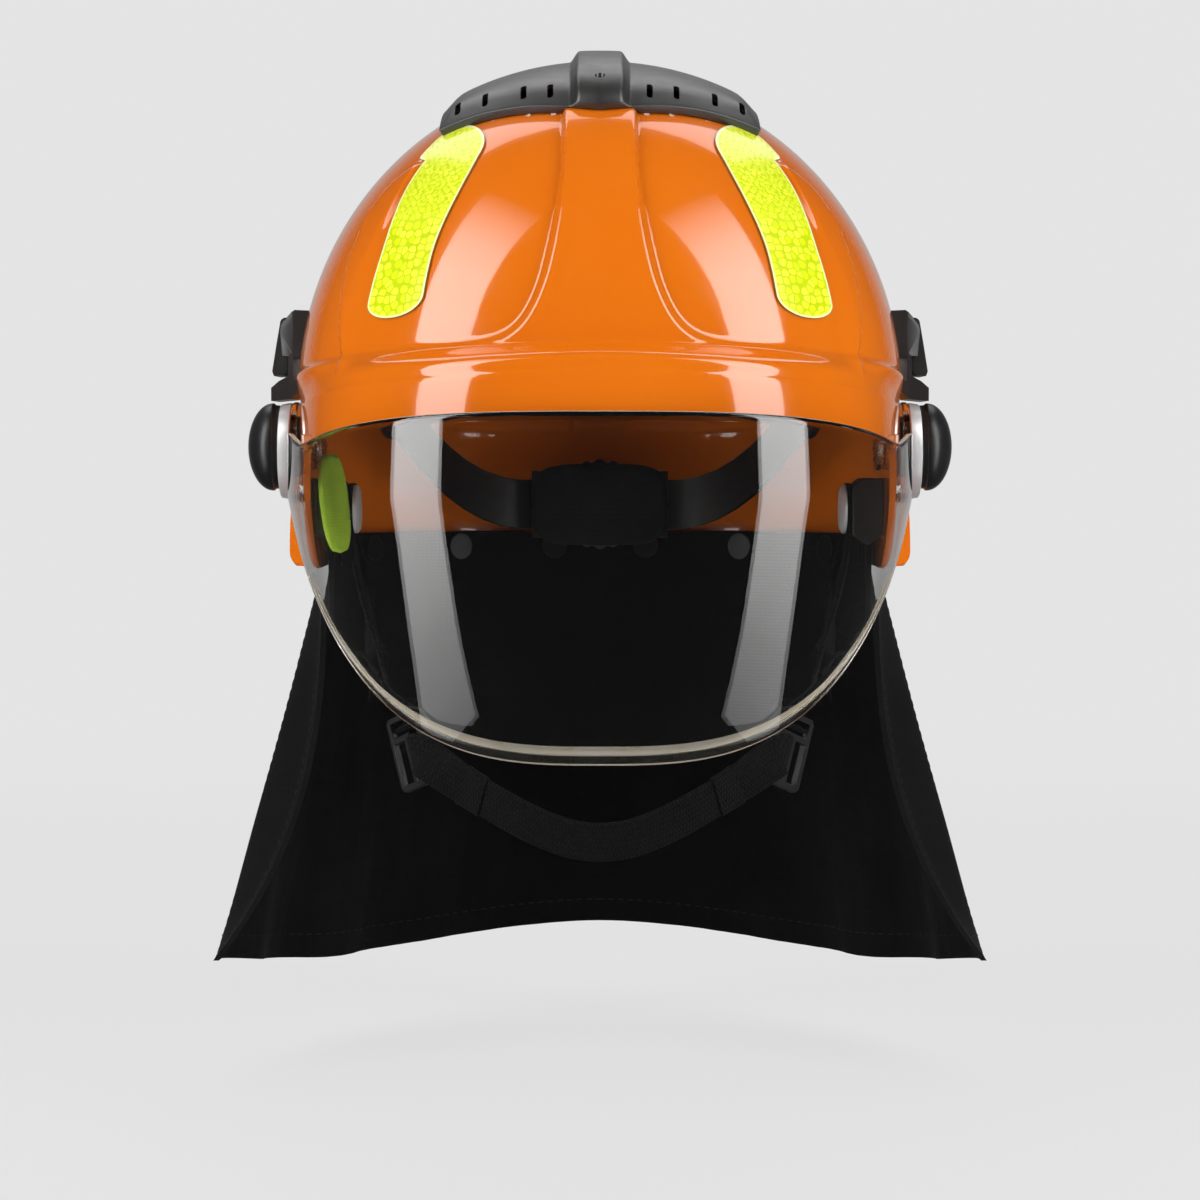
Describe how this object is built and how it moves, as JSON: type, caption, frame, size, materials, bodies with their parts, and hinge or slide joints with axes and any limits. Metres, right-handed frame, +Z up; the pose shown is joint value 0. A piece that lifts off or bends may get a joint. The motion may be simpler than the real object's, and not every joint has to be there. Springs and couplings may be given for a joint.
{
  "type": "wildland fire helmet",
  "caption": "Wildland fire helmet with a flip-up clear visor, slotted crown vent cover, side clips, geared rear size adjuster, webbing chin strap and cloth neck cape.",
  "frame": {"origin": "midway between the two visor pivots, in the middle of the head space", "axes": "+Z up through the crown, -Y towards the front and the visor, +X towards the wearer's left"},
  "size_m": [0.3022, 0.2942, 0.3631],
  "materials": {
    "shell_orange": "gloss moulded shell",
    "crest_grey": "satin moulded cover",
    "sticker_lime": "retroreflective sheet",
    "liner_foam": "fine foam with a cloth face",
    "pad_foam": "soft foam in knitted cloth",
    "pad_lime": "soft foam in knitted cloth",
    "webbing": "woven webbing",
    "cape_cloth": "flame-resistant knitted cloth",
    "visor_clear": "clear polished sheet",
    "ring_silver": "satin",
    "knob_black": "satin",
    "dial_grey": "satin",
    "clip_grey": "satin",
    "black_plastic": "fine texture",
    "steel": "plated",
    "washer_rubber": "matt"
  },
  "bodies": {
    "helmet": {"shell": "shell_orange", "vent_crest": "crest_grey", "crest_screw": "steel", "reflective_sticker_left": "sticker_lime", "reflective_sticker_right": "sticker_lime", "impact_liner": "liner_foam", "crown_straps": "webbing", "crown_pad": "pad_foam", "crown_clips": "black_plastic", "headband": "black_plastic", "sweatband": "pad_foam", "size_housing": "black_plastic", "size_cover": "black_plastic", "nape_pad": "pad_foam", "pivot_stud_left": "steel", "pivot_stud_right": "steel", "friction_washer_left": "washer_rubber", "friction_washer_right": "washer_rubber", "side_clip_left": "clip_grey", "side_clip_right": "clip_grey", "clip_pin_left": "steel", "clip_pin_right": "steel", "clip_screws": "steel", "strap_hanger_left": "black_plastic", "strap_hanger_right": "black_plastic", "strap_snap_left": "steel", "strap_snap_right": "steel", "front_strap_left": "webbing", "front_strap_right": "webbing", "rear_strap_left": "webbing", "rear_strap_right": "webbing", "slide_adjuster_left": "black_plastic", "slide_adjuster_right": "black_plastic", "chin_strap": "webbing", "temple_pad": "pad_lime", "neck_cape": "cape_cloth", "cape_snaps": "steel"},
    "visor": {"visor": "visor_clear", "visor_bush_left": "black_plastic", "visor_bush_right": "black_plastic", "visor_ring_left": "ring_silver", "visor_ring_right": "ring_silver"},
    "knob_left": {"visor_knob_left": "knob_black"},
    "knob_right": {"visor_knob_right": "knob_black"},
    "lever_left": {"clip_lever_left": "black_plastic"},
    "lever_right": {"clip_lever_right": "black_plastic"},
    "dial": {"size_knob": "dial_grey"},
    "nape_left": {"nape_strap_left": "black_plastic"},
    "nape_right": {"nape_strap_right": "black_plastic"}
  },
  "joints": [
    {"name": "visor_tilt", "type": "hinge", "parent": "helmet", "child": "visor", "pos_m": [0, 0, 0], "axis": [-1, 0, 0], "range_deg": [0, 48]},
    {"name": "knob_left_turn", "type": "hinge", "parent": "helmet", "child": "knob_left", "pos_m": [0.1225, 0, 0], "axis": [1, 0, 0], "range_deg": [0, 90]},
    {"name": "knob_right_turn", "type": "hinge", "parent": "helmet", "child": "knob_right", "pos_m": [-0.1225, 0, 0], "axis": [1, 0, 0], "range_deg": [0, 90]},
    {"name": "lever_left_press", "type": "hinge", "parent": "helmet", "child": "lever_left", "pos_m": [0.1204, 0.011, 0.0473], "axis": [0, -1, 0], "range_deg": [0, 20], "stiffness_Nm_per_rad": 0.15},
    {"name": "lever_right_press", "type": "hinge", "parent": "helmet", "child": "lever_right", "pos_m": [-0.1204, 0.011, 0.0473], "axis": [0, 1, 0], "range_deg": [0, 20], "stiffness_Nm_per_rad": 0.15},
    {"name": "dial_turn", "type": "hinge", "parent": "helmet", "child": "dial", "pos_m": [0, 0.1075, -0.024], "axis": [0, 1, 0], "range_deg": [0, 80]},
    {"name": "nape_left_slide", "type": "slide", "parent": "helmet", "child": "nape_left", "axis": [1, 0, 0], "range_m": [0, 0.0086]},
    {"name": "nape_right_slide", "type": "slide", "parent": "helmet", "child": "nape_right", "axis": [-1, 0, 0], "range_m": [0, 0.0086]}
  ],
  "couplings": [
    {"joint": "nape_left_slide", "follows": "dial_turn", "m_per_rad": 0.006},
    {"joint": "nape_right_slide", "follows": "dial_turn", "m_per_rad": 0.006}
  ]
}
